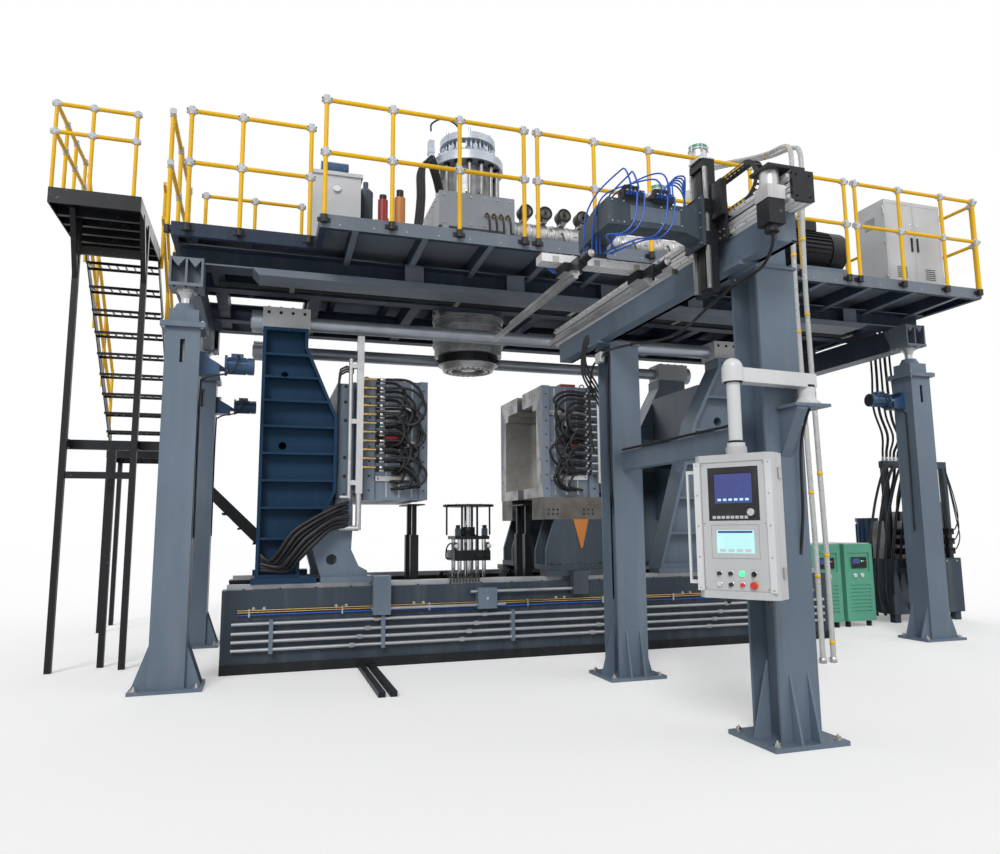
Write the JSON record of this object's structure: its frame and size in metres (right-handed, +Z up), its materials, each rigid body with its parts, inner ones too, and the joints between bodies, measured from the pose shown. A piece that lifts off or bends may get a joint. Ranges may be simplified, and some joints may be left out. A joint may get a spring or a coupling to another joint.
{
  "type": "extrusion blow moulding machine",
  "caption": "Extrusion blow moulding machine with a lifting extruder platform, accumulator head, sliding mould clamp, blow unit, take-out robot and swivelling control pendant.",
  "frame": {"origin": "on the floor directly under the axis of the accumulator head's die, at the middle of the sole plate under the clamp bed", "axes": "+X along the machine front towards the extruder motor and the hydraulic station, +Y to the rear, +Z up"},
  "size_m": [12.0923, 9.096, 6.88],
  "materials": {
    "slate_paint": "satin, blue-grey machine enamel",
    "dark_paint": "satin, dark blue-grey enamel",
    "clamp_paint": "satin, deep blue-grey enamel",
    "yellow_paint": "gloss, safety yellow enamel",
    "black_paint": "satin, black enamel",
    "white_paint": "satin, pale grey powder coat",
    "green_paint": "satin, green enamel",
    "motor_paint": "satin, blue enamel",
    "cast_steel": "machined, lightly oiled",
    "bare_steel": "ground bare steel",
    "hard_chrome": "polished hard chrome",
    "mould_metal": "milled block",
    "profile_metal": "clear anodised profile",
    "black_plastic": "matte black moulding",
    "clear_hose": "clear ribbed hose",
    "rubber_hose": "black hose",
    "button_black": "gloss black",
    "button_white": "gloss white",
    "button_red": "gloss red"
  },
  "bodies": {
    "machine_base": {"base_frame": "dark_paint", "sync_gear_block": "slate_paint", "front_pipes": "bare_steel", "platform_columns": "slate_paint", "jack_drives": "motor_paint", "robot_frame": "slate_paint", "robot_rail_profile": "profile_metal", "robot_drive": "black_plastic", "stair_tower": "black_paint", "stair_rails": "yellow_paint", "blow_unit_frame": "dark_paint", "hydraulic_station": "dark_paint", "temperature_units": "green_paint"},
    "lift_platform": {"platform_frame": "slate_paint", "guard_rails": "yellow_paint", "rail_clamps": "black_plastic", "jack_screws": "bare_steel", "head_body": "cast_steel", "head_top": "cast_steel", "extruder_barrel": "bare_steel", "extruder_drive": "slate_paint", "material_loaders": "bare_steel", "head_power_unit": "white_paint", "electrical_cabinet": "white_paint", "material_hoses": "clear_hose"},
    "door_left": {"cabinet_door_left": "white_paint"},
    "door_right": {"cabinet_door_right": "white_paint"},
    "mandrel": {"die_mandrel": "bare_steel"},
    "piston": {"shot_piston": "bare_steel"},
    "screw": {"extruder_screw": "bare_steel"},
    "left_clamp": {"left_strongback": "clamp_paint", "left_platen": "slate_paint", "left_mould": "mould_metal", "left_hoses": "rubber_hose", "right_outer_frame": "slate_paint", "tie_bars": "slate_paint", "lower_rack": "bare_steel", "clamp_cylinder": "dark_paint"},
    "right_clamp": {"right_carriage": "slate_paint", "right_mould": "mould_metal", "right_hoses": "rubber_hose", "upper_rack": "bare_steel", "clamp_rod": "hard_chrome"},
    "pinion": {"sync_pinion": "bare_steel"},
    "blow_unit": {"blow_head": "dark_paint"},
    "robot_slide": {"robot_carriage": "black_paint", "energy_chain": "black_plastic"},
    "robot_lift": {"robot_arm": "slate_paint"},
    "jaw_left": {"gripper_jaw_left": "bare_steel"},
    "jaw_right": {"gripper_jaw_right": "bare_steel"},
    "pendant_arm": {"hmi_arm": "white_paint"},
    "pendant": {"hmi_panel": "white_paint"},
    "key_one": {"button_black_one": "button_black"},
    "key_two": {"button_black_two": "button_black"},
    "key_white": {"button_white": "button_white"},
    "key_three": {"button_black_three": "button_black"},
    "key_red": {"button_red": "button_red"},
    "selector": {"selector_knob": "button_black"},
    "emergency_stop": {"stop_button": "button_red"},
    "dial": {"display_knob": "button_black"}
  },
  "joints": [
    {"name": "platform_lift", "type": "slide", "parent": "machine_base", "child": "lift_platform", "axis": [0, 0, 1], "range_m": [0, 0.3], "deforming": ["material_hoses"]},
    {"name": "cabinet_door_left_hinge", "type": "hinge", "parent": "lift_platform", "child": "door_left", "pos_m": [5.001, -1.712, 4.9], "axis": [0, 0, 1], "range_deg": [-90, 0]},
    {"name": "cabinet_door_right_hinge", "type": "hinge", "parent": "lift_platform", "child": "door_right", "pos_m": [5.919, -1.712, 4.9], "axis": [0, 0, 1], "range_deg": [0, 90]},
    {"name": "die_gap", "type": "slide", "parent": "lift_platform", "child": "mandrel", "axis": [0, 0, 1], "range_m": [0, 0.04]},
    {"name": "shot_stroke", "type": "slide", "parent": "lift_platform", "child": "piston", "axis": [0, 0, 1], "range_m": [0, 0.32]},
    {"name": "screw_turn", "type": "hinge", "parent": "lift_platform", "child": "screw", "pos_m": [2, 0, 5.21], "axis": [1, 0, 0], "continuous": true},
    {"name": "left_clamp_slide", "type": "slide", "parent": "machine_base", "child": "left_clamp", "axis": [1, 0, 0], "range_m": [0, 0.6795]},
    {"name": "right_clamp_slide", "type": "slide", "parent": "machine_base", "child": "right_clamp", "axis": [1, 0, 0], "range_m": [-0.68, 0]},
    {"name": "pinion_turn", "type": "hinge", "parent": "machine_base", "child": "pinion", "pos_m": [-0.075, -1.01, 0.65], "axis": [0, 1, 0], "range_deg": [-690, 0]},
    {"name": "blow_stroke", "type": "slide", "parent": "machine_base", "child": "blow_unit", "axis": [0, 0, 1], "range_m": [-0.2, 0]},
    {"name": "robot_travel", "type": "slide", "parent": "machine_base", "child": "robot_slide", "axis": [0, 1, 0], "range_m": [0, 1.85]},
    {"name": "robot_arm_lift", "type": "slide", "parent": "robot_slide", "child": "robot_lift", "axis": [0, 0, 1], "range_m": [0, 0.25]},
    {"name": "gripper_left_slide", "type": "slide", "parent": "robot_lift", "child": "jaw_left", "axis": [1, 0, 0], "range_m": [-0.2, 0]},
    {"name": "gripper_right_slide", "type": "slide", "parent": "robot_lift", "child": "jaw_right", "axis": [1, 0, 0], "range_m": [0, 0.2]},
    {"name": "pendant_arm_swing", "type": "hinge", "parent": "machine_base", "child": "pendant_arm", "pos_m": [1.05, -4.8, 2.25], "axis": [0, 0, 1], "range_deg": [0, 100]},
    {"name": "pendant_swivel", "type": "hinge", "parent": "pendant_arm", "child": "pendant", "pos_m": [0.44, -4.86, 1.9], "axis": [0, 0, 1], "range_deg": [-60, 60]},
    {"name": "key_one_press", "type": "slide", "parent": "pendant", "child": "key_one", "axis": [0.829, 0.5592, 0], "range_m": [0, 0.005], "stiffness_N_per_m": 400, "springref_m": -0.002},
    {"name": "key_two_press", "type": "slide", "parent": "pendant", "child": "key_two", "axis": [0.829, 0.5592, 0], "range_m": [0, 0.005], "stiffness_N_per_m": 400, "springref_m": -0.002},
    {"name": "key_white_press", "type": "slide", "parent": "pendant", "child": "key_white", "axis": [0.829, 0.5592, 0], "range_m": [0, 0.005], "stiffness_N_per_m": 400, "springref_m": -0.002},
    {"name": "key_three_press", "type": "slide", "parent": "pendant", "child": "key_three", "axis": [0.829, 0.5592, 0], "range_m": [0, 0.005], "stiffness_N_per_m": 400, "springref_m": -0.002},
    {"name": "key_red_press", "type": "slide", "parent": "pendant", "child": "key_red", "axis": [0.829, 0.5592, 0], "range_m": [0, 0.005], "stiffness_N_per_m": 400, "springref_m": -0.002},
    {"name": "emergency_stop_press", "type": "slide", "parent": "pendant", "child": "emergency_stop", "axis": [0.829, 0.5592, 0], "range_m": [0, 0.008], "stiffness_N_per_m": 400, "springref_m": -0.002},
    {"name": "selector_turn", "type": "hinge", "parent": "pendant", "child": "selector", "pos_m": [0.42246, -5.0021, 1.1], "axis": [0.829, 0.5592, 0], "range_deg": [-45, 45]},
    {"name": "dial_turn", "type": "hinge", "parent": "pendant", "child": "dial", "pos_m": [0.42275, -5.00432, 1.47], "axis": [0.829, 0.5592, 0], "continuous": true}
  ],
  "couplings": [
    {"joint": "right_clamp_slide", "follows": "left_clamp_slide", "ratio": -1},
    {"joint": "pinion_turn", "follows": "left_clamp_slide", "rad_per_m": -17.544},
    {"joint": "gripper_right_slide", "follows": "gripper_left_slide", "ratio": -1}
  ]
}
